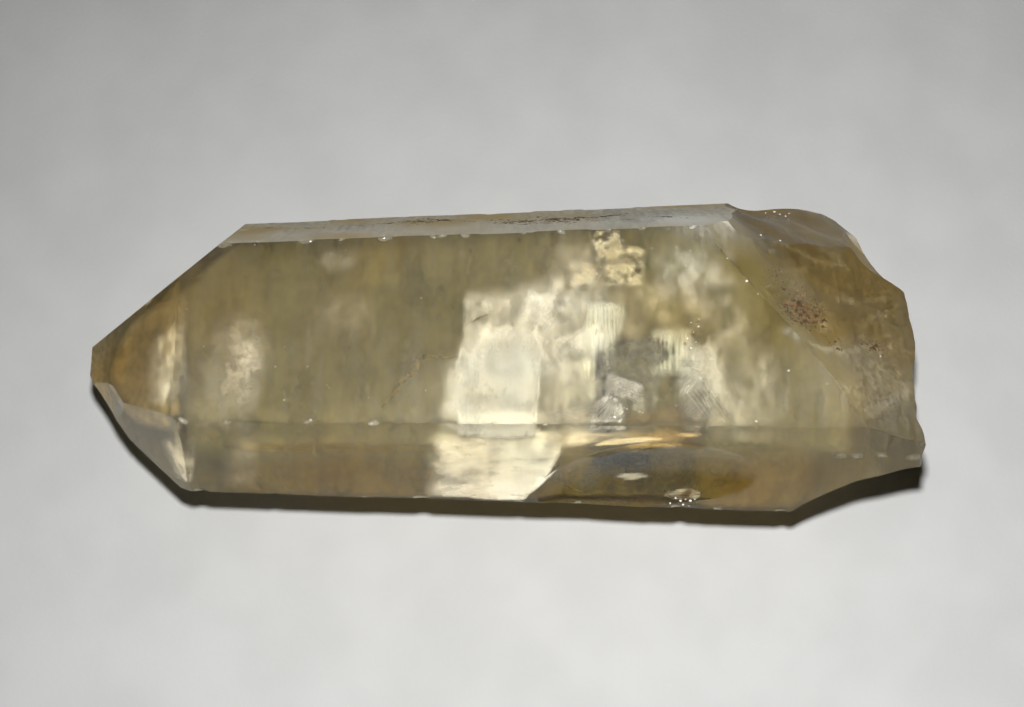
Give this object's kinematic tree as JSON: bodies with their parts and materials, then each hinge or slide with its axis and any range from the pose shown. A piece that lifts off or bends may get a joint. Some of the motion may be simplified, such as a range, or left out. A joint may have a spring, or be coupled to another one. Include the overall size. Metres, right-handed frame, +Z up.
{
  "type": "citrine crystal",
  "caption": "Natural pale smoky-yellow quartz point lying on one prism face, with a blunt six-sided tip, growth faces, shell-shaped chips and a rough broken base.",
  "frame": {"origin": "under the middle of the crystal's bounding box, on the surface that it lies on", "axes": "+X along the crystal's long axis towards the broken base, -X towards the point, +Z up"},
  "size_m": [0.084, 0.0352, 0.027],
  "materials": {
    "citrine": "clear to cloudy smoky yellow crystal, glassy on the grown faces, frosted on the breaks"
  },
  "bodies": {
    "root": {"citrine_crystal": "citrine"}
  },
  "joints": []
}
